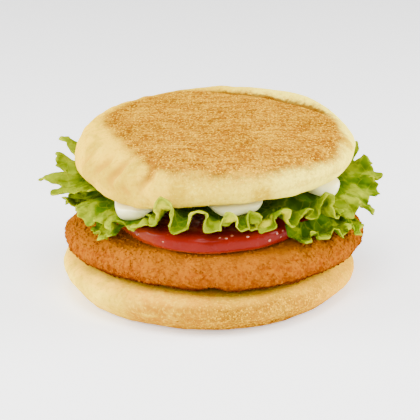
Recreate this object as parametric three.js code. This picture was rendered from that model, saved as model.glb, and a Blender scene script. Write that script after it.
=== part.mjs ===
// A chicken burger in a griddled muffin, as served: the lower half of the muffin, a breaded
// chicken patty, two tomato slices, leaf lettuce, mayonnaise and the upper half of the muffin.
// Millimetres, +Z up. The origin is on the surface it stands on, under the middle of the stack.
// Azimuths are in degrees, anticlockwise from +X, so the side that faces the viewer is 270.

import * as THREE from "three";

// Driving dimensions.
const GAP = 0.35; // air left between two pieces that lie on each other

const HEEL = { x: -1, radius: 47.8, height: 12, sides: 60 };
const PATTY = { x: 1, radius: 48.2, thickness: 12.2, depth: 0.925, sides: 72 };
const CROWN = { x: 1.2, radius: 45.2, thickness: 13.6, depth: 0.93, sides: 60 };

const BACK_SLICE = { x: 21.5, y: 5, radius: 25.5, thickness: 4.2, sides: 40 };
const FRONT_SLICE = { x: 0, y: -9.5, radius: 30, thickness: 5.8, sides: 48 };
const SKIN_BULGE = 0.8; // how far the skin stands out between the two cut faces

const LEAF_THICKNESS = 0.8;
const LEAF_ROWS = [0, 0.45, 0.72, 0.88, 1]; // places of the grid lines from root to edge
const COLUMNS_PER_FOLD = 4;
const TIER_STEP = 1.3; // height from one leaf to the next where they are pressed together
const TOP_TIER = 2;

const PATTY_BOTTOM = HEEL.height + GAP;
const PATTY_TOP = PATTY_BOTTOM + PATTY.thickness;
const CROWN_BOTTOM = 40.3; // the crown's lower rim, held up by the lettuce and mayonnaise
const CROWN_HOLLOW = 2.9; // how far its cut face is pressed in at the middle
const CROWN_EDGE = 41; // radius at which the cut face meets the rounded side
const CROWN_WAIST = CROWN_BOTTOM + 4; // height of the crown's widest ring
const CROWN_LEAN = 0.042; // rise of the lower rim for each millimetre towards +X
const CROWN_SAG = { at: 235, width: 20, depth: 2 }; // where its lower rim hangs down
const CROWN_PITCH = 0.05; // fall of the griddled face for each millimetre towards the viewer

// Small mathematics.
const RADIAN = Math.PI / 180;
const clamp = (t, low = 0, high = 1) => Math.min(high, Math.max(low, t));
const mix = (a, b, t) => a + (b - a) * t;
const ease = (from, to, t) => {
  const s = clamp((t - from) / (to - from));
  return s * s * (3 - 2 * s);
};
const bump = (t, centre, width) => Math.exp(-(((t - centre) / width) ** 2));
const azimuthOf = (x, y) => (Math.atan2(y, x) / RADIAN + 360) % 360;
const turnFrom = (a, b) => ((a - b + 540) % 360) - 180; // from b round to a, -180 to 180

// Straight lines between the points of a profile, read as a height over a radius.
function heightOver(profile, radius) {
  for (let i = 1; i < profile.length; i += 1) {
    const [r0, z0] = profile[i - 1];
    const [r1, z1] = profile[i];
    if (radius <= r1) return mix(z0, z1, clamp((radius - r0) / (r1 - r0)));
  }
  return profile.at(-1)[1];
}

// Smooth noise from -1 to 1, alike on every run: values at the corners of a unit grid, blended.
function cornerValue(i, j, k) {
  const s = Math.sin(i * 127.1 + j * 311.7 + k * 74.7) * 43758.5453;
  return 2 * (s - Math.floor(s)) - 1;
}

function noise(x, y, z) {
  const [i, j, k] = [x, y, z].map(Math.floor);
  const [u, v, w] = [x - i, y - j, z - k].map((t) => t * t * (3 - 2 * t));
  const row = (b, c) => mix(cornerValue(i, j + b, k + c), cornerValue(i + 1, j + b, k + c), u);
  return mix(mix(row(0, 0), row(1, 0), v), mix(row(0, 1), row(1, 1), v), w);
}

// A body turned from a profile of [radius, height] points, with each point then moved by `shape`.
function turned(profile, sides, shape) {
  const points = profile.map(([radius, height]) => new THREE.Vector2(radius, height));
  const geometry = new THREE.LatheGeometry(points, sides).rotateX(Math.PI / 2);
  return moved(geometry, shape);
}

function moved(geometry, shape) {
  const place = geometry.getAttribute("position");
  const point = new THREE.Vector3();
  for (let i = 0; i < place.count; i += 1) {
    point.fromBufferAttribute(place, i);
    shape(point);
    place.setXYZ(i, point.x, point.y, point.z);
  }
  geometry.computeVertexNormals();
  return geometry;
}

function piece(name, geometry, colour, roughness) {
  const material = new THREE.MeshStandardMaterial({ color: colour, roughness, metalness: 0 });
  const mesh = new THREE.Mesh(geometry, material);
  mesh.name = name;
  return mesh;
}

// The lower half of the muffin: a flat griddled base, a soft bulging side and a cut top face.
function makeHeel() {
  const { radius, height } = HEEL;
  const profile = [
    [0, 0],
    [radius - 9.5, 0],
    [radius - 4.4, height * 0.14],
    [radius - 1.2, height * 0.38],
    [radius, height * 0.6],
    [radius - 0.9, height * 0.79],
    [radius - 3.4, height * 0.93],
    [radius - 8, height],
    [26, height],
    [0, height],
  ];
  const geometry = turned(profile, HEEL.sides, (p) => {
    const azimuth = azimuthOf(p.x, p.y) * RADIAN;
    const side = ease(radius - 12, radius - 3, Math.hypot(p.x, p.y));
    const uneven = 0.006 * Math.sin(3 * azimuth + 0.8) + 0.005 * Math.sin(5 * azimuth + 2.1);
    const sag = 0.9 * Math.cos(azimuth) * side * bump(p.z, height * 0.65, 5);
    p.x = p.x * (1 + uneven * side) + HEEL.x;
    p.y *= 1 + uneven * side;
    if (p.z > 0) p.z -= sag;
  });
  return piece("muffin_heel", geometry, 0xe8c98a, 0.85);
}

// The breaded chicken patty: an oval cake with a full rounded edge and a craggy coating.
const PATTY_UNDER = [
  [0, PATTY_BOTTOM],
  [22, PATTY_BOTTOM],
  [38, PATTY_BOTTOM],
  [44.6, PATTY_BOTTOM + 0.8],
  [47.2, PATTY_BOTTOM + 2.7],
];
const PATTY_OVER = [
  [0, PATTY_TOP],
  [14, PATTY_TOP],
  [27, PATTY_TOP - 0.1],
  [36, PATTY_TOP - 0.4],
  [41, PATTY_TOP - 1.1],
  [44.6, PATTY_TOP - 2.4],
  [47, PATTY_TOP - 4.4],
  [PATTY.radius, PATTY_TOP - 6.8],
];
const CRAG_SIZE = 4.6; // breadth of one lump of the coating
const cragDepth = (radius) => mix(0.12, 0.6, ease(33, 43, radius));
const pattyRadiusAt = (x, y) => Math.hypot(x - PATTY.x, y / PATTY.depth);

function makePatty() {
  const profile = [...PATTY_UNDER, ...PATTY_OVER.toReversed()];
  const geometry = turned(profile, PATTY.sides, (p) => {
    const radius = Math.hypot(p.x, p.y);
    const azimuth = azimuthOf(p.x, p.y) * RADIAN;
    const lump = noise(p.x / CRAG_SIZE, p.y / CRAG_SIZE, p.z / CRAG_SIZE + 7);
    const open = ease(PATTY_BOTTOM, PATTY_BOTTOM + 1.5, p.z);
    const out = 0.7 * Math.sin(4 * azimuth + 1) * ease(40, 47, radius) + lump * cragDepth(radius) * open;
    const edge = ease(38, 47, radius);
    const stretch = radius > 0 ? 1 + (out * edge) / radius : 1;
    p.x = p.x * stretch + PATTY.x;
    p.y *= stretch * PATTY.depth;
    p.z += lump * cragDepth(radius) * open * (1 - 0.6 * edge);
  });
  return piece("chicken_patty", geometry, 0xd9822b, 0.7);
}

// The lowest height at which something can lie on the patty.
function pattyBed(x, y) {
  const radius = pattyRadiusAt(x, y);
  const over = Math.max(0, radius - PATTY.radius - 0.8);
  return heightOver(PATTY_OVER, radius - 0.8) + cragDepth(radius) + GAP - 6 * over;
}

// Two tomato slices. The back one lies flat on the patty. The front one lies on the patty towards
// the viewer, and bends up over the back one.
const insideSlice = (slice, x, y) => slice.radius + SKIN_BULGE - Math.hypot(x - slice.x, y - slice.y);

function backSliceBed(x, y) {
  return Math.max(pattyBed(x, y), PATTY_TOP - 0.2);
}

function frontSliceBed(x, y) {
  const climb = ease(-7, 0.5, insideSlice(BACK_SLICE, x, y));
  const onPatty = Math.max(pattyBed(x, y), PATTY_TOP - 0.9);
  const onSlice = PATTY_TOP + cragDepth(0) + GAP + BACK_SLICE.thickness + GAP + 0.1;
  return mix(onPatty, onSlice, climb);
}

function makeSlice(name, slice, bed) {
  const { radius, thickness } = slice;
  const profile = [
    [0, 0],
    [radius * 0.32, 0],
    [radius * 0.58, 0],
    [radius * 0.8, 0],
    [radius - 0.5, 0.2],
    [radius + SKIN_BULGE, thickness * 0.36],
    [radius + SKIN_BULGE, thickness * 0.7],
    [radius - 0.5, thickness],
    [radius * 0.8, thickness],
    [radius * 0.58, thickness],
    [radius * 0.32, thickness],
    [0, thickness],
  ];
  const geometry = turned(profile, slice.sides, (p) => {
    const azimuth = azimuthOf(p.x, p.y) * RADIAN;
    const lobes = 1 - 0.006 * (1 + Math.cos(5 * azimuth + 0.4));
    p.x = p.x * lobes + slice.x;
    p.y = p.y * lobes + slice.y;
    p.z += bed(p.x, p.y);
  });
  return piece(name, geometry, 0xc2301c, 0.3);
}

// The upper half of the muffin: a hollowed cut face below, a rounded pale side, and a griddled
// face on top that is nearly flat, with a raised lip behind it on the right.
const crownRadiusAt = (x, y) => Math.hypot(x - CROWN.x, y / CROWN.depth);

function crownRim(x, y) {
  const sag = CROWN_SAG.depth * bump(turnFrom(azimuthOf(x, y), CROWN_SAG.at), 0, CROWN_SAG.width);
  return CROWN_LEAN * x - sag * ease(34, CROWN_EDGE, crownRadiusAt(x, y));
}

function crownUnderside(x, y) {
  const radius = crownRadiusAt(x, y);
  const hollow = CROWN_HOLLOW * (1 - ease(24, CROWN_EDGE, radius));
  const out = clamp((radius - CROWN_EDGE) / (CROWN.radius - CROWN_EDGE));
  const curl = (CROWN_WAIST - CROWN_BOTTOM) * (1 - Math.sqrt(1 - out * out));
  return CROWN_BOTTOM + hollow + curl + crownRim(x, y);
}

function makeCrown() {
  const { radius, thickness } = CROWN;
  const top = CROWN_BOTTOM + thickness;
  const cutFace = [0, 16, 28, 35, CROWN_EDGE, 43.6, radius];
  const shoulder = [
    [radius - 0.2, CROWN_WAIST + 3],
    [radius - 1.9, CROWN_WAIST + 6.3],
    [radius - 5, CROWN_WAIST + 8.5],
    [radius - 9, top - 0.4],
    [28, top - 0.1],
    [15, top],
    [0, top],
  ];
  const profile = [...cutFace.map((r) => [r, CROWN_BOTTOM]), ...shoulder];
  const geometry = turned(profile, CROWN.sides, (p) => {
    const under = p.z < CROWN_BOTTOM + 0.01;
    const azimuth = azimuthOf(p.x, p.y);
    const reach = Math.hypot(p.x, p.y);
    const high = ease(CROWN_WAIST, top - 2, p.z);
    const side = under ? 0 : ease(28, 41, reach);
    const swell = 0.009 * Math.sin(3 * azimuth * RADIAN + 2.6) + 0.006 * Math.sin(5 * azimuth * RADIAN);
    const folds = bump(turnFrom(azimuth, 214), 0, 4) + 0.7 * bump(turnFrom(azimuth, 196), 0, 5);
    const stretch = 1 + side * (swell - 0.02 * folds);
    p.x = p.x * stretch + CROWN.x;
    p.y *= stretch * CROWN.depth;
    if (under) {
      p.z = crownUnderside(p.x, p.y);
      return;
    }
    const backRight = bump(turnFrom(azimuth, 52), 0, 34);
    const lip = backRight * (2.2 * bump(reach, 40.5, 3.2) - 0.9 * bump(reach, 35, 2.4));
    const softLeft = 1.6 * bump(turnFrom(azimuth, 205), 0, 30) * ease(27, 42, reach);
    p.z += high * (CROWN_PITCH * p.y + lip - softLeft) + (1 - high) * crownRim(p.x, p.y);
  });
  return piece("muffin_crown", geometry, 0xe3c48c, 0.85);
}

// The mayonnaise: one spread under the crown, squeezed out between the leaves in thick blobs.
const MAYO_RADIUS = 32;
const MAYO_SPREAD = 2; // its thickness under the crown
const MAYO_SIDES = 48;
const MAYO_BLOBS = [
  { at: 230, width: 12, out: 12.5, thick: 3.6 },
  { at: 276, width: 8, out: 10, thick: 3 },
  { at: 290, width: 6, out: 10, thick: 2.8 },
  { at: 335, width: 9, out: 14.5, thick: 5 },
  { at: 52, width: 12, out: 9.5, thick: 2.6 },
  { at: 118, width: 14, out: 9, thick: 0.8 },
];
const mayoAt = (azimuth, key) =>
  MAYO_BLOBS.reduce((sum, blob) => sum + blob[key] * bump(turnFrom(azimuth, blob.at), 0, blob.width), 0);
const mayoReach = (azimuth) => MAYO_RADIUS + mayoAt(azimuth, "out");
const mayoThickness = (azimuth, share) =>
  MAYO_SPREAD + mayoAt(azimuth, "thick") * ease(0.84, 0.96, share);

function makeMayonnaise() {
  const rim = [0, 0.4, 0.7, 0.86, 0.96];
  const profile = [...rim.map((r) => [r, -1]), [1, 0], ...rim.toReversed().map((r) => [r, 1])];
  const geometry = turned(profile, MAYO_SIDES, (p) => {
    const azimuth = azimuthOf(p.x, p.y);
    const share = Math.hypot(p.x, p.y);
    const reach = mayoReach(azimuth);
    const thickness = mayoThickness(azimuth, share);
    const round = share > 0.9 ? 0.72 : 1;
    p.x *= reach;
    p.y *= reach * CROWN.depth;
    p.z = crownUnderside(p.x, p.y) - GAP - (thickness / 2) * (1 - p.z * round);
  });
  return piece("mayonnaise", geometry, 0xf4f1e6, 0.35);
}

// What the leaves lie on, and what holds them down. Past a slice's rim they come down slowly.
const DRAPE = 0.8; // fall for each millimetre past the rim

function leafFloor(x, y, drape = DRAPE) {
  const onSlice = (slice, bed) =>
    bed(x, y) + slice.thickness + GAP + 0.15 - drape * Math.max(0, -1.5 - insideSlice(slice, x, y));
  const back = onSlice(BACK_SLICE, backSliceBed);
  const front = onSlice(FRONT_SLICE, frontSliceBed);
  return Math.max(pattyBed(x, y), back, front);
}

function leafCeiling(x, y) {
  const azimuth = azimuthOf(x, y);
  const radius = crownRadiusAt(x, y);
  const beyond = Math.max(0, radius - CROWN.radius - 1.2);
  const near = (radius - 1.2) / Math.max(radius, 1);
  const crown = crownUnderside(x * near, y * near) - GAP + 9 * beyond;
  const share = Math.hypot(x, y / CROWN.depth) / mayoReach(azimuth);
  const mayo = (GAP + mayoThickness(azimuth, Math.min(share, 1))) * (1 - ease(1.05, 1.15, share));
  return crown - mayo;
}

// A frilled lettuce leaf. `folds` walks along its edge from one end to the other: each entry has
// the azimuth of a fold, how far out the edge is there, and how high. The folds deepen towards the
// edge, and lean over sideways. `root` is the radius at which the leaf ends inside the stack, and
// `tier` says how many leaves lie under this one. The folds that face the viewer are placed one
// by one, and the others run evenly along the leaf, by turns low and high.
const LEAF_END = 40.5; // radius at the two ends of a leaf's edge

function evenFolds({ from, to, count, reach, low, high }) {
  return Array.from({ length: count + 1 }, (_, i) => {
    const end = i === 0 || i === count;
    const stray = end ? 0 : noise(1.7 * i + from, 3.3, 8.1);
    const height = i % 2 ? low - 0.6 * stray : high + stray;
    const azimuth = mix(from, to, (i + 0.25 * stray) / count);
    return [azimuth, end ? LEAF_END : reach + 1.8 * stray, end ? mix(low, high, 0.5) : height];
  });
}

const LEAVES = [
  {
    name: "lettuce_left",
    tier: 2,
    root: 19,
    height: 37,
    folds: [
      [147, 41, 37], [152.5, 49, 36], [160, 52.5, 44.5], [165, 47, 36.5], [170.5, 52, 40.5],
      [175.5, 48, 34.5], [181, 55.5, 35.5], [185.5, 49, 34], [190, 52, 32.4], [196, 47, 35.5],
      [203, 41, 37],
    ],
  },
  {
    name: "lettuce_front_left",
    tier: 1,
    root: 19,
    height: 34.5,
    folds: [
      [194, 41, 32.5], [200, 47, 30.5], [205.5, 47, 32.5], [212, 47, 28.8], [218.5, 45.5, 31.6],
      [224, 45, 29.2], [229, 44.5, 33.4], [234, 43.5, 30.8], [239, 43.5, 32.5], [244, 40, 31.5],
    ],
  },
  {
    name: "lettuce_front",
    tier: 2,
    root: 19,
    height: 37,
    folds: [
      [241, 41, 36], [246, 44.6, 34.2], [251, 47.4, 44.5], [257.5, 45, 32.2], [265, 44, 39.5],
      [270.5, 45, 32.8], [277.5, 43.8, 39.5], [282.5, 44.5, 33.4], [287.5, 43.8, 39], [292.5, 41, 37],
    ],
  },
  {
    name: "lettuce_front_right",
    tier: 1,
    root: 19,
    height: 34.5,
    folds: [
      [288.5, 40, 32.5], [293.5, 44.3, 32.6], [299.5, 46, 39.5], [305, 44.3, 33], [310, 46, 37],
      [314.5, 46, 32.5], [319.5, 47.5, 40.5], [324, 48, 32], [328, 47, 34], [331.5, 41, 34],
    ],
  },
  {
    name: "lettuce_right",
    tier: 1,
    root: 24,
    height: 36,
    folds: [
      [333, 42, 33], [337.5, 48.5, 28.5], [342, 49.5, 32], [347, 54, 29], [352, 51, 33], [357, 54, 31],
      [2, 52, 36], [6.5, 55.5, 34.5], [11.5, 52, 39], [16, 50, 36], [21, 52, 42], [26.5, 41, 37],
    ],
  },
  {
    name: "lettuce_back_right",
    tier: 1,
    root: 27,
    height: 34.5,
    folds: evenFolds({ from: 29, to: 88, count: 8, reach: 47.8, low: 32, high: 37.6 }),
  },
  {
    name: "lettuce_back_left",
    tier: 2,
    root: 25,
    height: 37,
    folds: evenFolds({ from: 82, to: 142, count: 7, reach: 47.6, low: 33.4, high: 38.6 }),
  },
  {
    name: "lettuce_low_side",
    tier: 0,
    root: 29,
    height: 29,
    folds: evenFolds({ from: 132, to: 197, count: 7, reach: 48, low: 26.8, high: 30.8 }),
  },
  {
    name: "lettuce_low_left",
    tier: 0,
    root: 40,
    height: 26.4,
    folds: evenFolds({ from: 206, to: 229, count: 5, reach: 44.6, low: 25.2, high: 27 }),
  },
  {
    name: "lettuce_low_right",
    tier: 0,
    root: 39,
    height: 27,
    drape: 1.7,
    folds: [
      [306, 41, 27.5], [310, 45, 26.6], [315, 45.4, 29], [320, 46, 26], [325.5, 46.6, 27.6],
      [330, 47.6, 24.6], [335, 48.6, 26.6], [340, 50.2, 22.4], [345, 50.4, 23], [350, 43, 26.5],
    ],
  },
  {
    name: "lettuce_low_back",
    tier: 0,
    root: 28,
    height: 29.5,
    folds: evenFolds({ from: 62, to: 126, count: 5, reach: 46, low: 26.6, high: 30 }),
  },
];
const LEAF_LIGHT = 0x9bc31c;
const LEAF_SHADE = 0x6f9a24;
const FOLD_LEAN = 1.1; // how far a fold leans sideways at the edge
const FOLD_POWER = 4; // how late, between root and edge, the folds deepen

function edgeAt(folds, along) {
  const i = Math.min(Math.floor(along), folds.length - 2);
  const step = along - i;
  const [from, to] = [folds[i], folds[i + 1]];
  return {
    azimuth: mix(from[0], from[0] + turnFrom(to[0], from[0]), step),
    reach: mix(from[1], to[1], ease(0, 1, step)),
    height: mix(from[2], to[2], ease(0, 1, step)),
  };
}

function leafPoint(leaf, along, share) {
  const edge = edgeAt(leaf.folds, along);
  const deep = share ** FOLD_POWER;
  const radius = mix(leaf.root, edge.reach, share);
  const lean = (FOLD_LEAN * deep * Math.sin(2 * Math.PI * along)) / radius / RADIAN;
  const azimuth = (edge.azimuth + lean) * RADIAN;
  const [x, y] = [radius * Math.cos(azimuth), radius * Math.sin(azimuth)];
  const half = LEAF_THICKNESS / 2 + 0.15;
  const low = leafFloor(x, y, leaf.drape) + half + leaf.tier * TIER_STEP;
  const high = leafCeiling(x, y) - half - (TOP_TIER - leaf.tier) * TIER_STEP * (1 - ease(36, 44, radius));
  return new THREE.Vector3(x, y, clamp(mix(leaf.height, edge.height, deep), low, Math.max(low, high)));
}

function makeLeaf(leaf) {
  const columns = (leaf.folds.length - 1) * COLUMNS_PER_FOLD;
  const rows = LEAF_ROWS.length - 1;
  const middle = (c, r) =>
    leafPoint(leaf, clamp(c, 0, columns) / COLUMNS_PER_FOLD, LEAF_ROWS[clamp(r, 0, rows)]);
  const faces = [[], []];
  for (let c = 0; c <= columns; c += 1) {
    for (let r = 0; r <= rows; r += 1) {
      const across = middle(c + 1, r).sub(middle(c - 1, r));
      const outward = middle(c, r + 1).sub(middle(c, r - 1));
      const up = outward.cross(across).normalize().multiplyScalar(LEAF_THICKNESS / 2);
      faces[0].push(middle(c, r).add(up));
      faces[1].push(middle(c, r).sub(up));
    }
  }
  const count = faces[0].length;
  const at = (c, r, face) => face * count + c * (rows + 1) + r;
  const triangles = [];
  const quad = (a, b, c, d) => triangles.push(a, b, c, a, c, d);
  for (let c = 0; c < columns; c += 1) {
    for (let r = 0; r < rows; r += 1) {
      quad(at(c, r, 0), at(c, r + 1, 0), at(c + 1, r + 1, 0), at(c + 1, r, 0));
      triangles.push(at(c, r, 1), at(c + 1, r + 1, 1), at(c, r + 1, 1));
      triangles.push(at(c, r, 1), at(c + 1, r, 1), at(c + 1, r + 1, 1));
    }
    quad(at(c, 0, 1), at(c, 0, 0), at(c + 1, 0, 0), at(c + 1, 0, 1));
    quad(at(c, rows, 0), at(c, rows, 1), at(c + 1, rows, 1), at(c + 1, rows, 0));
  }
  for (let r = 0; r < rows; r += 1) {
    quad(at(0, r, 0), at(0, r, 1), at(0, r + 1, 1), at(0, r + 1, 0));
    quad(at(columns, r, 1), at(columns, r, 0), at(columns, r + 1, 0), at(columns, r + 1, 1));
  }
  const geometry = new THREE.BufferGeometry().setFromPoints(faces.flat());
  geometry.setIndex(triangles);
  geometry.computeVertexNormals();
  const colour = leaf.name.startsWith("lettuce_low") ? LEAF_SHADE : LEAF_LIGHT;
  return piece(leaf.name, geometry, colour, 0.45);
}

const burger = new THREE.Group();
burger.add(
  makeHeel(),
  makePatty(),
  makeSlice("tomato_slice_back", BACK_SLICE, backSliceBed),
  makeSlice("tomato_slice_front", FRONT_SLICE, frontSliceBed),
  ...LEAVES.map(makeLeaf),
  makeMayonnaise(),
  makeCrown(),
);

export default burger;
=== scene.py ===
import math
import random

import bmesh
import bpy
from mathutils import Matrix, Vector, noise
from mathutils.bvhtree import BVHTree


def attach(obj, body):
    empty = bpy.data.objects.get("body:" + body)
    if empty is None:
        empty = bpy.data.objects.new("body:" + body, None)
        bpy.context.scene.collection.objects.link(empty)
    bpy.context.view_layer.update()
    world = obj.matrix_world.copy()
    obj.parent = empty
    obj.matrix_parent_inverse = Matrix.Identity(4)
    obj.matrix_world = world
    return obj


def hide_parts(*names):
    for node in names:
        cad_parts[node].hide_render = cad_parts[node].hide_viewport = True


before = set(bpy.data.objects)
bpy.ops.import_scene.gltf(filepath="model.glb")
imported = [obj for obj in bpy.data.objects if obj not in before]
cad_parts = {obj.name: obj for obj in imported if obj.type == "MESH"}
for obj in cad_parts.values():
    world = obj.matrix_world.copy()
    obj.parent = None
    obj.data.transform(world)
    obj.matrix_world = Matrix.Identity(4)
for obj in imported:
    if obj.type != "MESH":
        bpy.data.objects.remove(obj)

scene = bpy.context.scene
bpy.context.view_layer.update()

# Viewpoint, light and floor.
# The stack is looked down on by 20 degrees through a long lens, from straight in front of it. It
# stands on a pale floor among four soft boxes: one above, one at each side and a weak one in front.
MM = 0.001
STACK_POINT = Vector((0, 0, 26.4)) * MM  # this point of the stack is seen just above the middle
STACK_PIXEL = (211, 205)
FRAME_PIXELS = 420
FOCAL_PIXELS = 1836
CAMERA_HEIGHT_ANGLE = math.radians(20)
CAMERA_DISTANCE = 600 * MM
SENSOR = 36

backwards = Vector((0, -math.cos(CAMERA_HEIGHT_ANGLE), math.sin(CAMERA_HEIGHT_ANGLE)))
upwards = Vector((0, math.sin(CAMERA_HEIGHT_ANGLE), math.cos(CAMERA_HEIGHT_ANGLE)))
pixel = CAMERA_DISTANCE / FOCAL_PIXELS
aim = STACK_POINT - Vector((1, 0, 0)) * pixel * (STACK_PIXEL[0] - FRAME_PIXELS / 2)
aim -= upwards * pixel * (FRAME_PIXELS / 2 - STACK_PIXEL[1])

camera = bpy.data.objects.new("camera", bpy.data.cameras.new("camera"))
camera.data.sensor_width = SENSOR
camera.data.lens = SENSOR * FOCAL_PIXELS / FRAME_PIXELS
camera.location = aim + backwards * CAMERA_DISTANCE
camera.rotation_euler = backwards.to_track_quat("Z", "Y").to_euler()
scene.collection.objects.link(camera)
scene.camera = camera


def soft_box(name, place, width, watts):
    """A square lamp, aimed at the middle of the stack."""
    lamp = bpy.data.objects.new(name, bpy.data.lights.new(name, "AREA"))
    lamp.data.size = width
    lamp.data.energy = watts
    lamp.location = place
    lamp.rotation_euler = (Vector(place) - STACK_POINT).to_track_quat("Z", "Y").to_euler()
    scene.collection.objects.link(lamp)


soft_box("left_light", (-0.55, -0.06, 0.26), 0.40, 8.6)
soft_box("right_light", (0.55, -0.02, 0.26), 0.40, 8.4)
soft_box("front_light", (-0.10, -0.60, 0.36), 0.25, 2.4)
soft_box("top_light", (0.0, -0.24, 0.66), 0.40, 8.5)
scene.world = bpy.data.worlds.new("studio")
scene.world.use_nodes = True
SKY_TONE = (1.0, 0.99, 0.97, 1)
SKY_STRENGTH = 0.42
sky = scene.world.node_tree.nodes["Background"]
sky.inputs["Color"].default_value = SKY_TONE
sky.inputs["Strength"].default_value = SKY_STRENGTH

FLOOR_WIDTH = 6.0
FLOOR_TONE = (0.95, 0.95, 0.95, 1)
FLOOR_GLOW = 0.55
sheet = bmesh.new()
bmesh.ops.create_grid(sheet, x_segments=1, y_segments=1, size=FLOOR_WIDTH / 2)
floor_mesh = bpy.data.meshes.new("floor")
sheet.to_mesh(floor_mesh)
sheet.free()
floor = bpy.data.objects.new("floor", floor_mesh)
floor_paint = bpy.data.materials.new("floor_paint")
floor_paint.use_nodes = True
floor_shader = floor_paint.node_tree.nodes["Principled BSDF"]
floor_shader.inputs["Base Color"].default_value = FLOOR_TONE
floor_shader.inputs["Roughness"].default_value = 0.8
floor_shader.inputs["Emission Color"].default_value = (1, 1, 1, 1)
floor_shader.inputs["Emission Strength"].default_value = FLOOR_GLOW
floor_mesh.materials.append(floor_paint)
scene.collection.objects.link(floor)

# The lower half of the muffin.
# Soft white bread, 95 mm across and 12 mm thick, baked between griddle plates: its base is
# toasted and gritty, its side is a pale skin with faint dimples. It stands on its base, and its
# cut face carries all the rest.
MERGE = 0.002 * MM
PAIR_ANGLE = math.radians(50)
CORRECTIONS = 2
HOLD = 0.9


def fresh_copy(node):
    """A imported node's mesh with its corners merged and its triangles paired."""
    shape = bmesh.new()
    shape.from_mesh(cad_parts[node].data)
    bmesh.ops.remove_doubles(shape, verts=shape.verts, dist=MERGE)
    bmesh.ops.join_triangles(
        shape, faces=shape.faces, angle_face_threshold=PAIR_ANGLE, angle_shape_threshold=PAIR_ANGLE
    )
    return shape


def subdivided(piece, levels):
    """A mesh of the piece with its surface rounded off, and that many times finer."""
    rounding = piece.modifiers.new("rounding", "SUBSURF")
    rounding.levels = rounding.render_levels = levels
    graph = bpy.context.evaluated_depsgraph_get()
    soft = bpy.data.meshes.new_from_object(
        piece.evaluated_get(graph), preserve_all_data_layers=True, depsgraph=graph
    )
    piece.modifiers.clear()
    return soft


def round_off(shape, name, levels):
    """A finished object from a cage, rounded but held out to where the cage's corners were."""
    corners = [vertex.co.copy() for vertex in shape.verts]
    cage = bpy.data.meshes.new(name)
    shape.to_mesh(cage)
    shape.free()
    piece = bpy.data.objects.new(name, cage)
    scene.collection.objects.link(piece)
    for _ in range(CORRECTIONS):
        soft = subdivided(piece, 1)
        for vertex, corner, now in zip(cage.vertices, corners, soft.vertices):
            vertex.co += (corner - now.co) * HOLD
        cage.update()
    piece.data = subdivided(piece, levels)
    piece.data.shade_smooth()
    return piece


def sculpt(piece, move):
    """Shifts each point of a piece by what move(place, outwards) gives, in millimetres. It also
    gives how raised the skin is there, which the finish reads from the attribute "raised"."""
    mesh = piece.data
    outwards = [normal.vector.copy() for normal in mesh.vertex_normals]
    raised = mesh.attributes.new("raised", "FLOAT", "POINT")
    for vertex, out, height in zip(mesh.vertices, outwards, raised.data):
        shift, height.value = move(vertex.co / MM, out)
        vertex.co += shift * MM
    mesh.update()


def mark(piece, name, measure):
    """Gives each point of a piece a value for its finish, measure(place) in millimetres."""
    values = piece.data.attributes.new(name, "FLOAT", "POINT").data
    for vertex, value in zip(piece.data.vertices, values):
        value.value = measure(vertex.co / MM)


def lumps(place, size):
    """Smooth noise from -1 to 1 whose lumps are so many millimetres apart."""
    return noise.noise(place / size)


def ease(low, high, value):
    """A smooth step from 0 to 1 as a value goes from low to high."""
    share = min(1.0, max(0.0, (value - low) / (high - low)))
    return share * share * (3 - 2 * share)


def near(value, middle, width):
    """A soft bump: 1 in the middle, and nearly 0 at twice its width."""
    return math.exp(-(((value - middle) / width) ** 2))


def blots(place, middles):
    """How much of the soft spots (x, y, z, width) there is at a place."""
    return sum(near((place - Vector(middle[:3])).length, 0, middle[3]) for middle in middles)


class Wire:
    """A shader socket that can be reckoned with: each sum adds its Math node."""

    def __init__(self, tree, socket):
        self.tree = tree
        self.socket = socket

    def reckon(self, operation, first, second):
        """The result of a Math node."""
        node = self.tree.nodes.new("ShaderNodeMath")
        node.operation = operation
        for slot, value in zip(node.inputs, (first, second)):
            if isinstance(value, Wire):
                self.tree.links.new(value.socket, slot)
            else:
                slot.default_value = value
        return Wire(self.tree, node.outputs[0])

    def __add__(self, other):
        return self.reckon("ADD", self, other)

    def __radd__(self, other):
        return self.reckon("ADD", other, self)

    def __sub__(self, other):
        return self.reckon("SUBTRACT", self, other)

    def __rsub__(self, other):
        return self.reckon("SUBTRACT", other, self)

    def __mul__(self, other):
        return self.reckon("MULTIPLY", self, other)

    def __rmul__(self, other):
        return self.reckon("MULTIPLY", other, self)


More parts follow.
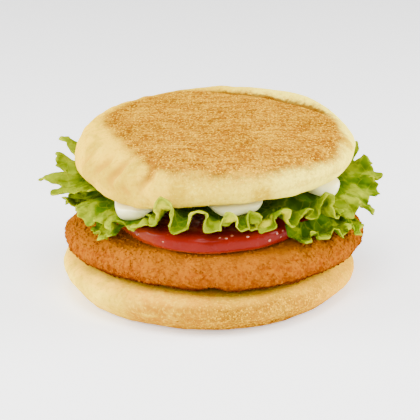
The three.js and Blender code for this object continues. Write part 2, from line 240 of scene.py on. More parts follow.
class Finish:
    """A material for one of the foods, built up from procedural nodes."""

    def __init__(self, name, **fixed):
        self.material = bpy.data.materials.new(name)
        self.material.use_nodes = True
        self.tree = self.material.node_tree
        self.shader = self.tree.nodes["Principled BSDF"]
        for socket, value in fixed.items():
            self.shader.inputs[socket.replace("_", " ")].default_value = value
        place = self.node("ShaderNodeTexCoord", output="Object")
        self.mm = self.node("ShaderNodeMapping", inputs={"Vector": place, "Scale": (1 / MM,) * 3})

    def node(self, kind, settings=None, inputs=None, output=0):
        """A node of any kind: its settings first, then the values or links of its sockets."""
        node = self.tree.nodes.new(kind)
        for key, value in (settings or {}).items():
            setattr(node, key, value)
        for key, value in (inputs or {}).items():
            if isinstance(value, Wire):
                self.tree.links.new(value.socket, node.inputs[key])
            else:
                node.inputs[key].default_value = value
        return Wire(self.tree, node.outputs[output])

    def grain(self, size, detail=2.0, roughness=0.5, distortion=0.0, place=None):
        """Noise from 0 to 1 whose lumps are so many millimetres apart."""
        sockets = {"Vector": place or self.mm, "Scale": 1 / size, "Detail": detail}
        return self.node("ShaderNodeTexNoise", inputs={
            **sockets, "Roughness": roughness, "Distortion": distortion})

    def cells(self, size, output="Distance", place=None):
        """Voronoi cells so many millimetres apart."""
        return self.node("ShaderNodeTexVoronoi", inputs={"Vector": place or self.mm, "Scale": 1 / size},
                         output=output)

    def span(self, value, low, high, to_low=0.0, to_high=1.0):
        """A smooth step of a value from one range to another."""
        return self.node("ShaderNodeMapRange", {"interpolation_type": "SMOOTHSTEP"}, {
            "Value": value, "From Min": low, "From Max": high, "To Min": to_low, "To Max": to_high})

    def blend(self, share, first, second):
        """A mix of two colours."""
        return self.node("ShaderNodeMix", {"data_type": "RGBA"}, {0: share, 6: first, 7: second}, 2)

    def axis(self, name):
        """One coordinate of the place, in millimetres."""
        return self.node("ShaderNodeSeparateXYZ", inputs={"Vector": self.mm}, output=name)

    def attribute(self, name):
        """A value that mark or sculpt left on the piece."""
        return self.node("ShaderNodeAttribute", {"attribute_name": name}, output="Fac")

    def relief(self, height, depth, strength=1.0):
        """Bumps: a height from 0 to 1 that stands for so many millimetres."""
        bump = self.node("ShaderNodeBump", inputs={"Height": height, "Distance": depth * MM,
                                                   "Strength": strength})
        self.tree.links.new(bump.socket, self.shader.inputs["Normal"])

    def paint(self, colour, roughness=None):
        """The colour of the food and, where it changes, its roughness."""
        self.tree.links.new(colour.socket, self.shader.inputs["Base Color"])
        if roughness is not None:
            self.tree.links.new(roughness.socket, self.shader.inputs["Roughness"])


def serve(piece, finish, slot, *nodes):
    """Gives a piece its finish and its place in the object."""
    piece.data.materials.clear()
    piece.data.materials.append(finish.material)
    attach(piece, "root")
    if nodes:
        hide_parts(*nodes)


CREAM = (0.74, 0.50, 0.010, 1)
BUTTER = (0.88, 0.54, 0.003, 1)
YOLK = (0.58, 0.365, 0.0001, 1)
HONEY = (0.52, 0.26, 0.0002, 1)
GOLD = (0.40, 0.165, 0.0006, 1)
AMBER = (0.98, 0.46, 0.002, 1)
FLOUR = (0.99, 0.80, 0.07, 1)
STRAW = (0.97, 0.66, 0.030, 1)
TAN = (0.30, 0.108, 0.0006, 1)
TOAST_DARK = (0.095, 0.021, 0.0006, 1)
TOAST_PALE = (0.82, 0.46, 0.002, 1)
ABOVE_PATTY = (20, 30)  # heights that tell the upper half of the muffin from the lower one
BELOW_PATTY = (20, 15)
CROWN_LOW_EDGE = (44.0, 40.5)
HEEL_SHOULDER = (8.5, 11.5)
TURN_WIDTH = 8


def bread_finish(name, toasted, turn, left_tint, middle_tint, right_tint, powder_and_highlight_tint):
    """Bread skin: pale, in three tints from left to right (the first up to x = turn) under a
    powdering, and tan with a fine light grit where it is toasted, which toasted(finish) gives.
    Creases and dents take painted shade, and ridges a painted highlight."""
    bread = Finish(name, Roughness=0.85, Specular_IOR_Level=0.0, Subsurface_Weight=0.1,
                   Subsurface_Radius=(1.0, 0.5, 0.2), Subsurface_Scale=1.0 * MM)
    browned = toasted(bread)
    across = bread.axis("X") + bread.grain(15, 2.0) * 30 - 15
    pale = bread.blend(bread.span(across, 2, 26), middle_tint, right_tint)
    pale = bread.blend(bread.span(across, turn + TURN_WIDTH, turn - TURN_WIDTH), pale, left_tint)
    height = bread.axis("Z")
    low = bread.span(height + bread.grain(6, 2.0) * 5, *CROWN_LOW_EDGE) * bread.span(height, *ABOVE_PATTY)
    pale = bread.blend(low * 0.7, pale, YOLK)
    shoulder = bread.span(height, *HEEL_SHOULDER) * bread.span(height, *BELOW_PATTY)
    pale = bread.blend(shoulder * 0.6, pale, AMBER)
    patches = bread.span(bread.grain(7, 3.0, distortion=0.8), 0.52, 0.68)
    pale = bread.blend(patches * bread.span(across, 0, -20, 0.15, 0.6), pale, YOLK)
    buttery = bread.span(bread.attribute("buttery") + bread.grain(3, 2.0) * 0.6 - 0.3, 0.1, 0.8)
    pale = bread.blend(buttery, pale, YOLK)
    dusty = bread.span(across, turn - TURN_WIDTH, turn + TURN_WIDTH, 0.3, 1.0)
    powder = bread.span(bread.grain(4.5, 3.0, 0.6), 0.50, 0.66)
    pale = bread.blend(powder * dusty * 0.22, pale, powder_and_highlight_tint)
    fine = bread.grain(1.1, 3.0, 0.65)
    pale = bread.blend(bread.span(fine, 0.52, 0.64) * dusty * 0.35, pale, powder_and_highlight_tint)
    pale = bread.blend(bread.span(fine, 0.46, 0.34) * 0.28, pale, TAN)
    mottle = bread.span(bread.grain(5, 4.0, 0.6), 0.38, 0.66)
    crust = bread.blend(mottle * 0.2, TAN, TOAST_PALE)
    rows = bread.node("ShaderNodeMapping", inputs={"Vector": bread.mm, "Scale": (0.22, 1, 1)})
    streaks = bread.grain(1.9, 2.0, distortion=0.6, place=rows)
    crust = bread.blend(bread.span(streaks, 0.52, 0.62) * 0.3, crust, TOAST_DARK)
    crust = bread.blend(bread.span(streaks, 0.47, 0.38) * 0.25, crust, TOAST_PALE)
    scorch = bread.span(bread.grain(16, 2.0, distortion=0.5), 0.54, 0.70)
    crust = bread.blend(scorch * 0.35, crust, TOAST_DARK)
    # Dark scorch spots on the upper half's griddled face, and painted shade in a thin line along the lower
    # half's top edge.
    crust = bread.blend(bread.attribute("scorch_and_gap_shade") * 0.8, crust, TOAST_DARK)
    grit = bread.grain(0.9, 2.0, 0.75)
    crust = bread.blend(bread.span(grit, 0.48, 0.40) * 0.4, crust, TOAST_DARK)
    crust = bread.blend(bread.span(grit, 0.55, 0.62) * 0.5, crust, TOAST_PALE)
    aside = bread.node("ShaderNodeMapping", inputs={"Vector": bread.mm, "Location": (7, 3, 5)})
    pits = bread.span(bread.cells(0.75, place=aside), 0.42, 0.22)
    pits = pits * bread.span(bread.cells(0.75, "Color", aside), 0.35, 0.5)
    crust = bread.blend(pits * 0.75, crust, TOAST_DARK)
    flecks = bread.span(bread.cells(0.8), 0.42, 0.20) * bread.span(bread.cells(0.8, "Color"), 0.42, 0.60)
    crust = bread.blend(flecks * 0.9, crust, TOAST_PALE)
    # Painted shade in creases and dents, and a painted highlight on the ridges in the powder tint.
    raised = bread.attribute("raised")
    pale = bread.blend(bread.span(raised, -0.3, -1.5) * 0.8, pale, HONEY)
    pale = bread.blend(bread.span(raised, 0.15, 0.6) * dusty * 0.3, pale, powder_and_highlight_tint)
    specks = bread.span(bread.cells(13), 0.045, 0.03)
    pale = bread.blend(specks * 0.8, pale, TOAST_DARK)
    skin = bread.blend(browned, pale, crust)
    # Painted shade: a dark line in the groove where the far lip starts.
    lip_groove_shade = bread.span(bread.attribute("lip_groove_shade") + bread.grain(1.5, 2.0) - 0.5, 0.25, 0.8)
    bread.paint(bread.blend(lip_groove_shade * 0.8, skin, TOAST_DARK))
    bread.relief(grit * (0.25 + 0.5 * browned) + flecks * 0.4 * browned + fine * 0.5, 0.3, 0.9)
    return bread


HEEL_MIDDLE_X = -1
HEEL_SIDE = (30, 44)


def heel_toast(bread):
    """The base, and the side from the middle of the front round to the right."""
    drift = bread.grain(12, 3.0) * 24 - 12
    to_right = bread.span(bread.axis("X") + drift, -18, 8) * bread.span(bread.axis("X"), 46, 26, 0.4, 1.0)
    under = bread.span(bread.axis("Z") + drift * 0.25, 4.0, 0.5)
    below_edge = bread.span(bread.axis("Z") + drift * 0.1, 11.0, 9.0, 0.45, 1.0)
    return (to_right * 0.85 + under * 0.4) * below_edge


def heel_skin(place, out):
    """Low swellings, mostly on the side. The base stays on the table."""
    side = ease(*HEEL_SIDE, math.hypot(place.x - HEEL_MIDDLE_X, place.y))
    swell = 0.36 * lumps(place, 11) + 0.18 * lumps(place, 4.2) + 0.07 * lumps(place, 1.7)
    shift = out * swell * (0.25 + 0.75 * side)
    shift.z = max(shift.z, -place.z)
    return shift, swell


heel = round_off(fresh_copy("muffin_heel"), "muffin_lower_half", 3)
sculpt(heel, heel_skin)
mark(heel, "buttery", lambda place: 0.2 + 0.6 * lumps(place, 14))
# Painted shade: a thin dark line along the top edge, where the patty sits on it.
mark(heel, "scorch_and_gap_shade", lambda place: 0.2 * near(place.z, 12, 1.5))
heel_bread = bread_finish("muffin_heel_bread", heel_toast, -31, STRAW, GOLD, AMBER, STRAW)
serve(heel, heel_bread, "muffin", "muffin_heel")

# The chicken patty.
# An oval of chopped chicken, 97 mm wide and 12 mm thick, in a fried crumb coating. The coating
# is a craggy shell, with loose crumbs stuck all over its side and its upper edge. It lies on the
# lower half's cut face.
PATTY_MIDDLE_X = 1
PATTY_FLATNESS = 0.925
PATTY_SIDE = (34, 43)
NICKS = ((0.5, 3.0, 1.0), (-15, 2.0, 0.6), (36, 3.0, 0.5))  # x, width and share along its lower edge
NICK_DEPTH = 1.2


def patty_reach(place):
    """The distance from the patty's middle line, as if it were round."""
    return math.hypot(place.x - PATTY_MIDDLE_X, place.y / PATTY_FLATNESS)


def coating(place, out):
    """Crags all over the side, and nicks in the lower edge at the front."""
    side = ease(*PATTY_SIDE, patty_reach(place))
    crags = 0.42 * lumps(place, 5.5) + 0.22 * abs(lumps(place, 2.4)) + 0.26 * lumps(place, 0.9)
    shift = out * (crags - 0.1) * (0.22 + 0.78 * side)
    nick = sum(share * near(place.x, middle, width) for middle, width, share in NICKS)
    shift.z += NICK_DEPTH * nick * ease(-20, -34, place.y) * ease(16.5, 13.5, place.z)
    return shift, crags


patty = round_off(fresh_copy("chicken_patty"), "breaded_patty", 3)
sculpt(patty, coating)

FRY_GOLD = (0.265, 0.064, 0.0001, 1)
FRY_PALE = (0.335, 0.102, 0.0001, 1)
FRY_BROWN = (0.140, 0.021, 0.0001, 1)
FRY_LIGHT = (0.480, 0.145, 0.0001, 1)
FRY_DARK = (0.045, 0.006, 0.0008, 1)
TO_TOMATO = (0, 9.5, 0)  # moves the front tomato slice's middle to the origin


def fried_finish(name, pale_share):
    """Fried crumb: golden orange, with painted light on the upper face and round the tomato, red brown
    low down (partly its own colour, partly painted shade), painted shade in the pits and a painted
    highlight on the crags."""
    fried = Finish(name, Roughness=0.6, Specular_IOR_Level=0.0)
    clouds = fried.span(fried.grain(9, 3.0), 0.40, 0.62)
    gold = fried.blend(clouds * 0.6, FRY_GOLD, FRY_PALE)
    height = fried.axis("Z")
    # Partly the coating's own red brown, partly painted shade: the side darkens low down.
    low = fried.span(height + 7 * fried.grain(5, 2.0), 23.0, 17.5)
    gold = fried.blend(low * 0.6, gold, FRY_BROWN)
    # Painted light: the upper part of the side is paler, as if lit from above.
    high = fried.span(height + 3 * fried.grain(4, 2.0), 20.5, 23.5)
    gold = fried.blend(high * 0.6, gold, FRY_PALE)
    # Painted shade in the pits between the crags, and a painted highlight on their tops.
    raised = fried.attribute("raised")
    gold = fried.blend(fried.span(raised, 0.12, -0.25) * 0.4, gold, FRY_BROWN)
    gold = fried.blend(fried.span(raised, 0.15, 0.55) * 0.4, gold, FRY_PALE)
    bits = fried.cells(1.4)
    clumps = fried.grain(2.0, 3.0, 0.6)
    gold = fried.blend(fried.span(clumps, 0.52, 0.62) * pale_share, gold, FRY_PALE)
    gold = fried.blend(fried.span(clumps, 0.47, 0.37) * 0.5, gold, FRY_BROWN)
    fine = fried.grain(0.9, 3.0, 0.65)
    gold = fried.blend(fried.span(fine, 0.54, 0.64) * pale_share, gold, FRY_PALE)
    gold = fried.blend(fried.span(fine, 0.47, 0.36) * 0.5, gold, FRY_BROWN)
    # Painted light round the tomato, on the upper face that the slice and the leaves shade.
    under_tomato = fried.node("ShaderNodeMapping", inputs={
        "Vector": fried.mm, "Location": TO_TOMATO, "Scale": (1, 1, 0)})
    reach = fried.node("ShaderNodeVectorMath", {"operation": "LENGTH"}, {0: under_tomato}, "Value")
    painted_light_round_tomato = fried.span(reach + fried.grain(4, 2.0) * 6, 44.0, 35.0) * fried.span(height, 20.5, 23.5)
    gold = fried.blend(painted_light_round_tomato * 0.4, gold, FRY_LIGHT)
    # A dark band along the lower edge: partly the coating's darker fried edge, partly painted shade of the
    # gap above the lower half.
    rim = fried.span(height + fried.grain(2.2, 2.0) * 3, 16.9, 15.9)
    gold = fried.blend(rim * 0.75, gold, FRY_DARK)
    fried.paint(gold)
    fried.relief(fine * 0.6 + bits * 0.5, 0.4, 0.9)
    return fried


serve(patty, fried_finish("fried_coating", 0.5), "breading", "chicken_patty")

CRUMBS = 3600
CRUMB_SIZES = (0.18, 0.60)
CRUMB_REACH = 36
CRUMB_FLOOR = 13.5
# How raised the loose crumbs count, which gives them a painted highlight.
CRUMB_RAISED = 0.35
BATCH = 80
crumb_draw = random.Random(11)
spots = [face for face in patty.data.polygons if patty_reach(face.center / MM) > CRUMB_REACH]
crumb_spots = [spot for spot in crumb_draw.sample(spots, CRUMBS) if spot.center.z > CRUMB_FLOOR * MM]
crumbs = bmesh.new()
for first in range(0, len(crumb_spots), BATCH):
    handful = bmesh.new()
    for spot in crumb_spots[first:first + BATCH]:
        size = crumb_draw.uniform(*CRUMB_SIZES) * MM
        squash = Matrix.Diagonal((crumb_draw.uniform(0.8, 1.7), crumb_draw.uniform(0.6, 1.1), 0.6, 1))
        turn = spot.normal.to_track_quat("Z", "Y").to_matrix().to_4x4()
        spin = Matrix.Rotation(crumb_draw.uniform(0, math.tau), 4, "Z")
        bmesh.ops.create_icosphere(
            handful, subdivisions=1, radius=size,
            matrix=Matrix.Translation(spot.center + spot.normal * size * 0.1) @ turn @ spin @ squash,
        )
    batch_mesh = bpy.data.meshes.new("handful")
    handful.to_mesh(batch_mesh)
    handful.free()
    crumbs.from_mesh(batch_mesh)
    bpy.data.meshes.remove(batch_mesh)
crumb_mesh = bpy.data.meshes.new("patty_crumbs")
crumbs.to_mesh(crumb_mesh)
crumbs.free()
crumb_mesh.shade_smooth()
patty_crumbs = bpy.data.objects.new("patty_crumbs", crumb_mesh)
scene.collection.objects.link(patty_crumbs)
# The loose crumbs count as raised, so they take the painted highlight of the crag tops.
mark(patty_crumbs, "raised", lambda place: CRUMB_RAISED)
serve(patty_crumbs, fried_finish("loose_crumb", 0.8), "breading")

# The tomato slices.
# Two slices of a ripe tomato, 5 and 6 mm thick, with a wet red skin round a paler cut face. They
# lie on the patty, and the one in front bends up over the one behind it. Small drops of juice
# stand on the skin.
SLICES = {  # x and y of the middle, and radius
    "tomato_slice_back": (21.5, 5.0, 25.5),
    "tomato_slice_front": (0.0, -9.5, 30.0),
}
SKIN_RED = (0.175, 0.006, 0.0012, 1)
SKIN_ORANGE = (0.22, 0.024, 0.0010, 1)
FLESH = (0.18, 0.008, 0.002, 1)
FLESH_PALE = (0.34, 0.055, 0.010, 1)
SLICE_EDGE = 25.4  # the height at which the skin turns to the cut face below


def tomato_finish(name, middle_x, middle_y, radius):
    """Tomato: a red skin, more orange to the left, round flesh with paler walls and pale dots."""
    tomato = Finish(name, Specular_IOR_Level=0.07, Coat_Weight=0.045, Coat_Roughness=0.05,
                    Subsurface_Weight=0.1, Subsurface_Radius=(1.0, 0.1, 0.03),
                    Subsurface_Scale=1.5 * MM)
    local = tomato.node("ShaderNodeMapping", inputs={
        "Vector": tomato.mm, "Location": (-middle_x, -middle_y, 0), "Scale": (1, 1, 0)})
    reach = tomato.node("ShaderNodeVectorMath", {"operation": "LENGTH"}, {0: local}, "Value")
    skin = tomato.span(reach, radius - 8, radius - 2)
    ripe = tomato.span(tomato.axis("X") + tomato.grain(8, 2.0) * 10, -6, -22)
    red = tomato.blend(ripe, SKIN_RED, SKIN_ORANGE)
    dots = tomato.span(tomato.cells(3.1), 0.11, 0.05)
    red = tomato.blend(dots * 0.5, red, FLESH_PALE)
    edge = tomato.span(tomato.axis("Z") + tomato.grain(3, 2.0) * 0.6, SLICE_EDGE + 0.5, SLICE_EDGE)
    red = tomato.blend(edge * 0.5, red, FLESH_PALE)
    pockets = tomato.span(tomato.grain(6, 1.0), 0.42, 0.56)
    flesh = tomato.blend(pockets, FLESH_PALE, FLESH)
    tomato.paint(tomato.blend(skin, flesh, red), tomato.span(tomato.grain(2.5), 0.3, 0.7, 0.16, 0.3))
    tomato.relief(tomato.grain(3.0, 2.0), 0.12, 0.5)
    return tomato


def slice_skin(place, out):
    """Faint swellings."""
    swell = 0.22 * lumps(place, 7) + 0.07 * lumps(place, 2.5)
    return out * swell, swell


slices = {}
for node, (middle_x, middle_y, radius) in SLICES.items():
    slices[node] = round_off(fresh_copy(node), node.replace("slice", "piece"), 3)
    sculpt(slices[node], slice_skin)
    serve(slices[node], tomato_finish(node + "_flesh", middle_x, middle_y, radius), "tomato", node)

DROPS = 16
DROP_SIZES = (0.22, 0.42)
DROP_FRONT = -29  # drops stand in front of this y,
DROP_SPREAD = 24  # and this far to the left and right
juice_draw = random.Random(5)
skin_spots = [
    face for face in slices["tomato_slice_front"].data.polygons
    if face.center.y < DROP_FRONT * MM and face.normal.z > -0.2 and abs(face.center.x) < DROP_SPREAD * MM
]
juice = bmesh.new()
for spot in juice_draw.sample(skin_spots, DROPS):
    size = juice_draw.uniform(*DROP_SIZES) * MM
    turn = spot.normal.to_track_quat("Z", "Y").to_matrix().to_4x4()
    bmesh.ops.create_icosphere(
        juice, subdivisions=3, radius=size,
        matrix=Matrix.Translation(spot.center) @ turn @ Matrix.Diagonal((1.3, 1, 0.45, 1)),
    )
juice_mesh = bpy.data.meshes.new("juice_drops")
juice.to_mesh(juice_mesh)
juice.free()
juice_mesh.shade_smooth()
juice_drops = bpy.data.objects.new("juice_drops", juice_mesh)
scene.collection.objects.link(juice_drops)
juice_finish = Finish("tomato_juice", Roughness=0.06, Coat_Weight=1.0, Coat_Roughness=0.03)
JUICE_RED = (0.34, 0.04, 0.01, 1)
JUICE_PALE = (0.52, 0.17, 0.08, 1)
juice_finish.paint(juice_finish.blend(juice_finish.grain(1.0), JUICE_RED, JUICE_PALE))
serve(juice_drops, juice_finish, "tomato")

# The lettuce.
# Leaves of green frilled lettuce, under 0.5 mm thick. Each is one sheet whose edge is longer than
# the leaf is wide, so it stands in folds, with a crinkled face and small teeth. They are held by
# their roots, between the tomato and the upper half.
LEAF_THICKNESS = 0.8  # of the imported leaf, which loses this from either face:
LEAF_THINNING = 0.17
LEAF_LEVELS = 2
LEAF_ROOT = 4  # no border is marked so near the root
LONG_EDGE = 2.2
LEAF_FREE = (26, 44)  # distances from the middle of the stack where a leaf is free to curl,
LEAF_OUTER = (36, 47)  # and where it is painted as fully lit, clear of the painted shade under the upper half
HIGHLIGHT_PEAKS = (  # painted highlights on the front peaks, as soft spots: x, y, z and width
    (-15.5, -40.5, 40.5, 5), (-4.6, -43, 38, 3), (6.5, -43, 37, 3), (15.6, -37, 34, 3), (22.6, -38, 36, 3),
)
leaf_names = sorted(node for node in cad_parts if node.startswith("lettuce_"))


def leaf_cage(node):
    """The leaf's cage, thinned, with finer rows, and its border marked for the finish."""
    shape = fresh_copy(node)
    border = shape.verts.layers.float.new("border")
    root = min(Vector(v.co.xy).length for v in shape.verts)
    for edge in shape.edges:
        if edge.calc_length() < 1.25 * LEAF_THICKNESS * MM:
            across = edge.verts[0].normal.dot(edge.verts[1].normal) < 0.5
            away = min(v.co.xy.length for v in edge.verts) > root + LEAF_ROOT * MM
            if across and away:
                for v in edge.verts:
                    v[border] = 1.0
    for v in shape.verts:
        v.co -= v.normal * LEAF_THINNING * MM
    lengthwise = []
    for edge in shape.edges:
        run = (edge.verts[0].co - edge.verts[1].co).xy.normalized()
        if edge.calc_length() > LONG_EDGE * MM and abs(run.dot(edge.verts[0].co.xy.normalized())) > 0.7:
            lengthwise.append(edge)
    bmesh.ops.subdivide_edges(shape, edges=lengthwise, cuts=1, use_grid_fill=True)
    return shape


def frill(place, border):
    """How far a point of a leaf moves: teeth and small waves at its border, and a curl that grows
    towards its free end."""
    flat = Vector((place.x, place.y, 0))
    outward = flat.normalized()
    teeth = 1.0 * lumps(place, 1.7) + 1.6 * lumps(place, 3.6)
    wave = Vector((lumps(place, 3.4), lumps(place + Vector((31, 7, 5)), 3.4),
                   lumps(place + Vector((3, 57, 11)), 3.0)))
    free = 0.12 + 0.88 * ease(*LEAF_FREE, flat.length)
    lift = 0.8 * lumps(place, 4.4) + 0.4 * lumps(place, 2.0)
    curl = Vector((lumps(place, 8), lumps(place + Vector((13, 5, 29)), 8), lift))
    curl += outward * 1.2 * lumps(place + Vector((41, 3, 17)), 7) + Vector((0, 0, 1.3 * lumps(place, 9)))
    return outward * teeth * border ** 2 + wave * 1.1 * border + curl * free


leaves = {}
for node in leaf_names:
    leaf = round_off(leaf_cage(node), node.replace("lettuce", "leaf"), LEAF_LEVELS)
    border = [value.value for value in leaf.data.attributes["border"].data]
    for vertex, share in zip(leaf.data.vertices, border):
        vertex.co += frill(vertex.co / MM, share) * MM
    leaf.data.update()
    # Painted light and shade: the outer parts of each leaf are painted lit, the parts further in under the
    # upper half painted in shade.
    mark(leaf, "outer", lambda place: ease(*LEAF_OUTER, math.hypot(place.x, place.y)))
    # Spots of painted highlight on the front peaks.
    mark(leaf, "sunlit", lambda place: blots(place, HIGHLIGHT_PEAKS))
    leaves[node] = leaf

LEAF_LIME = (0.215, 0.262, 0.0001, 1)
LEAF_GREEN = (0.050, 0.098, 0.0001, 1)
LEAF_DEEP = (0.012, 0.046, 0.0005, 1)
LEAF_RIM = (0.55, 0.54, 0.002, 1)
LEAF_HIGHLIGHT = (0.80, 0.76, 0.003, 1)


def leaf_finish(name, depth):
    """Lettuce: lime green with deep green painted shade in patches (as much as depth), painted light on
    the outer parts, faint branching ribs, painted highlights on some peaks and a thin yellow rim."""
    leaf = Finish(name, Roughness=0.5, Specular_IOR_Level=0.0, Subsurface_Weight=0.15,
                  Subsurface_Radius=(0.8, 1.0, 0.1), Subsurface_Scale=1.0 * MM)
    to_right = leaf.span(leaf.axis("X") + leaf.grain(14, 1.0) * 20, 18, 40)
    outer = leaf.attribute("outer")
    # Painted light: the outer parts are more lime.
    clouds = leaf.span(leaf.grain(8, 3.0) - to_right * 0.12 + outer * 0.22, 0.50, 0.72)
    green = leaf.blend(clouds, LEAF_GREEN, LEAF_LIME)
    # Painted shade: deep green in random patches, less of it on the outer parts and more to the right.
    shade = leaf.span(leaf.grain(5, 2.0) - to_right * 0.06 + outer * 0.10, 0.56, 0.42)
    green = leaf.blend(shade * depth, green, LEAF_DEEP)
    green = leaf.blend(leaf.span(leaf.axis("X"), -32, -46) * 0.35, green, LEAF_GREEN)
    warp = leaf.node("ShaderNodeTexNoise", inputs={"Vector": leaf.mm, "Scale": 0.25}, output="Color")
    bent = leaf.node("ShaderNodeVectorMath", {"operation": "MULTIPLY_ADD"}, {
        0: warp, 1: (4, 4, 4), 2: leaf.mm})
    ribs = leaf.node("ShaderNodeTexVoronoi", {"feature": "DISTANCE_TO_EDGE"}, {"Vector": bent, "Scale": 0.2})
    rib = leaf.span(ribs, 0.07, 0.0)
    green = leaf.blend(rib * 0.1, green, LEAF_RIM)
    # Painted highlight on the marked peaks.
    sunlit = leaf.span(leaf.attribute("sunlit") + leaf.grain(2.5, 2.0) - 0.5, 0.3, 0.9)
    green = leaf.blend(sunlit * 0.7, green, LEAF_HIGHLIGHT)
    border = leaf.attribute("border")
    green = leaf.blend(leaf.span(border, 0.1, 1.0) * 0.25, green, LEAF_LIME)
    rim = leaf.span(border, 0.82, 1.0) * leaf.span(leaf.grain(3, 2.0), 0.36, 0.58)
    leaf.paint(leaf.blend(rim * 0.3, green, LEAF_RIM))
    leaf.relief(leaf.grain(1.6, 2.0) + rib * 0.5, 0.25, 0.6)
    return leaf


# The low leaves take more painted shade.
upper_leaf = leaf_finish("lettuce_lime", 0.5)
lower_leaf = leaf_finish("lettuce_deep", 0.85)
for node, leaf in leaves.items():
    serve(leaf, lower_leaf if "_low_" in node else upper_leaf, "lettuce", node)

# The mayonnaise.
# A smooth white sauce, spread on the underside of the upper half and pressed down on the leaves,
# so it is squeezed out at the rim in round blobs.
SAUCE_BULGE = 0.9
SAUCE_RIM = (32, 37)


def sauce_flow(place, out):
    """Smooth swellings, and a bulge outwards and down at the rim."""
    swell = 0.45 * lumps(place, 5) + 0.15 * lumps(place, 2.4)
    bulge = SAUCE_BULGE * ease(*SAUCE_RIM, math.hypot(place.x, place.y))
    return out * swell + Vector((out.x, out.y, min(out.z, 0))) * bulge, swell


sauce_cage = fresh_copy("mayonnaise")
bmesh.ops.smooth_vert(sauce_cage, verts=sauce_cage.verts, factor=0.5, use_axis_x=True, use_axis_y=True)
sauce = round_off(sauce_cage, "mayonnaise_spread", 3)
sculpt(sauce, sauce_flow)
SAUCE_WHITE = (0.99, 0.93, 0.52, 1)
SAUCE_CREAM = (0.97, 0.87, 0.36, 1)
sauce_finish = Finish("mayonnaise_gloss", Roughness=0.28, Coat_Weight=0.2, Coat_Roughness=0.15,
                      Subsurface_Weight=0.4, Subsurface_Radius=(1.0, 0.9, 0.7), Subsurface_Scale=1.5 * MM)
sauce_finish.paint(sauce_finish.blend(sauce_finish.grain(5, 2.0), SAUCE_WHITE, SAUCE_CREAM))
sauce_finish.relief(sauce_finish.grain(2.0, 1.0), 0.1, 0.4)
serve(sauce, sauce_finish, "mayonnaise", "mayonnaise")

# The upper half of the muffin.
# The same bread as below, 90 mm across and 14 mm thick, lying griddled side up on the sauce and
# the leaves. The griddled face is nearly flat, tan and gritty, and its side is pale and soft, with
# a few creases to the left.
CREASES = (  # direction in degrees, height of the middle, half height and depth
    (223, 48, 5, 2.0), (239, 47, 5, 1.6), (231, 43, 3, 1.0), (212, 48, 5, 1.3), (199, 46, 4, 1.0),
)
CREASE_WIDTH = 2.6
CROWN_MIDDLE = Vector((1.2, 0, 0))
CROWN_FLATNESS = 0.93
CROWN_SIDE = (32, 43)
TOAST_FLOOR = 47
TOAST_OUTLINE = (  # direction in degrees and reach of the griddled area
    (0, 40.4), (20, 37.8), (45, 34.4), (80, 33.0), (110, 37.0), (135, 36.5), (165, 37.4), (190, 33.2),
    (205, 32.4), (222, 34.0), (238, 38.6), (265, 39.0), (290, 39.6), (310, 41.4), (328, 43.1),
    (345, 42.0), (360, 40.4),
)
BUTTERY = (  # soft spots: x, y, z and width
    (-37.3, -12, 50.2, 3.2), (-10, -40.4, 45.8, 3.2), (15.4, -39.6, 43.0, 3.8), (-26.5, -32, 41.5, 5.5),
    (-33, -26, 46.0, 4.5), (-38, -18, 43.5, 5.0), (43, -8, 50.5, 3.5), (-24, -31, 48.5, 3.5),
)
SCORCHED = ((-33, 4, 53.5, 3.5), (-29, -10, 53, 2.5), (-27, 18, 54.5, 4.0), (34, 2, 54, 6.0))


def around(place):
    """The direction in degrees and the distance of a place from the middle of the upper half."""
    flat = place - CROWN_MIDDLE
    return math.degrees(math.atan2(flat.y, flat.x)) % 360, math.hypot(flat.x, flat.y)


def toast_inset(place):
    """How far inside the griddled area a place lies."""
    azimuth, radius = around(place)
    for (at, reach), (next_at, next_reach) in zip(TOAST_OUTLINE, TOAST_OUTLINE[1:]):
        if azimuth <= next_at:
            break
    limit = reach + (next_reach - reach) * (azimuth - at) / (next_at - at)
    return min(limit - radius, place.z - TOAST_FLOOR)


def far_lip(place):
    """The share of the lip that curls up along the far right, with a notch in it."""
    azimuth, _ = around(place)
    return ease(10, 30, azimuth) * ease(105, 88, azimuth) * (1 - 0.8 * near(azimuth, 56, 6))


def crown_toast(bread):
    """The griddled area of the upper face, with a soft and ragged edge."""
    ragged = bread.grain(4.5, 4.0, 0.65) * 6 - 3
    gritty = bread.grain(0.9, 2.0, 0.75) * 5 - 2.5
    return bread.span(bread.attribute("toast_inset") + ragged + gritty, -3.2, 2.0)


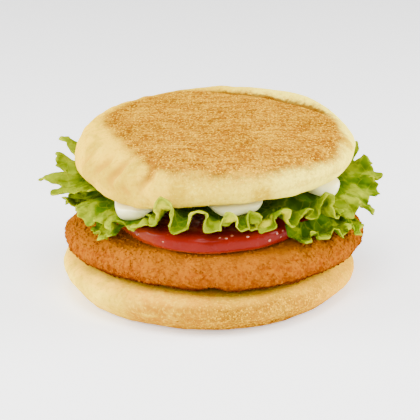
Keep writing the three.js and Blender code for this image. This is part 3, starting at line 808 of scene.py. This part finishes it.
def far_line(place):
    """Painted shade: the dark line along the far edge of the griddled area, in the groove where the lip
    starts.
    """
    azimuth, _ = around(place)
    return near(toast_inset(place), 0.6, 1.5) * ease(5, 25, azimuth) * ease(100, 85, azimuth)


def crown_skin(place, out):
    """Swellings and creases, mostly on the side, and the lip along the far right."""
    azimuth, _ = around(place)
    side = ease(*CROWN_SIDE, math.hypot(place.x - CROWN_MIDDLE.x, place.y / CROWN_FLATNESS))
    puffy = 0.25 + 0.35 * ease(-12, -26, place.x)
    swell = 0.45 * lumps(place, 12) + puffy * lumps(place, 5) + 0.09 * lumps(place, 1.8)
    folds = sum(
        depth * near(azimuth + 1.5 * math.sin(place.z * 0.6), at, CREASE_WIDTH) * near(place.z, height, tall)
        for at, height, tall, depth in CREASES
    )
    inset = toast_inset(place)
    lip = far_lip(place) * (0.7 * near(inset, -2.6, 1.8) - 0.6 * near(inset, 0.3, 0.9))
    shift = out * (swell * (0.3 + 0.7 * side) - folds * side) + Vector((0, 0, lip))
    return shift, swell * side - folds * side


crown = round_off(fresh_copy("muffin_crown"), "muffin_upper_half", 3)
sculpt(crown, crown_skin)
mark(crown, "toast_inset", toast_inset)
mark(crown, "buttery", lambda place: blots(place, BUTTERY))
mark(crown, "scorch_and_gap_shade", lambda place: 0.5 * blots(place, SCORCHED))
mark(crown, "lip_groove_shade", far_line)
crown_bread = bread_finish("muffin_crown_bread", crown_toast, -17, BUTTER, CREAM, FLOUR, FLOUR)
serve(crown, crown_bread, "muffin", "muffin_crown")

# Fit.
# Each leaf is pressed clear of what it lies on and what lies on it, as it is in the hand.
LEAF_CLEARANCE = 0.12
NEIGHBOURHOOD = 3
graph = bpy.context.evaluated_depsgraph_get()
solids = [BVHTree.FromObject(piece, graph) for piece in (patty, *slices.values(), sauce, crown)]
for leaf in leaves.values():
    for vertex in leaf.data.vertices:
        for solid in solids:
            spot, out, _, _ = solid.find_nearest(vertex.co, NEIGHBOURHOOD * MM)
            if spot is None:
                continue
            depth = (vertex.co - spot).dot(out)
            if depth < LEAF_CLEARANCE * MM:
                vertex.co += out * (LEAF_CLEARANCE * MM - depth)
    leaf.data.update()
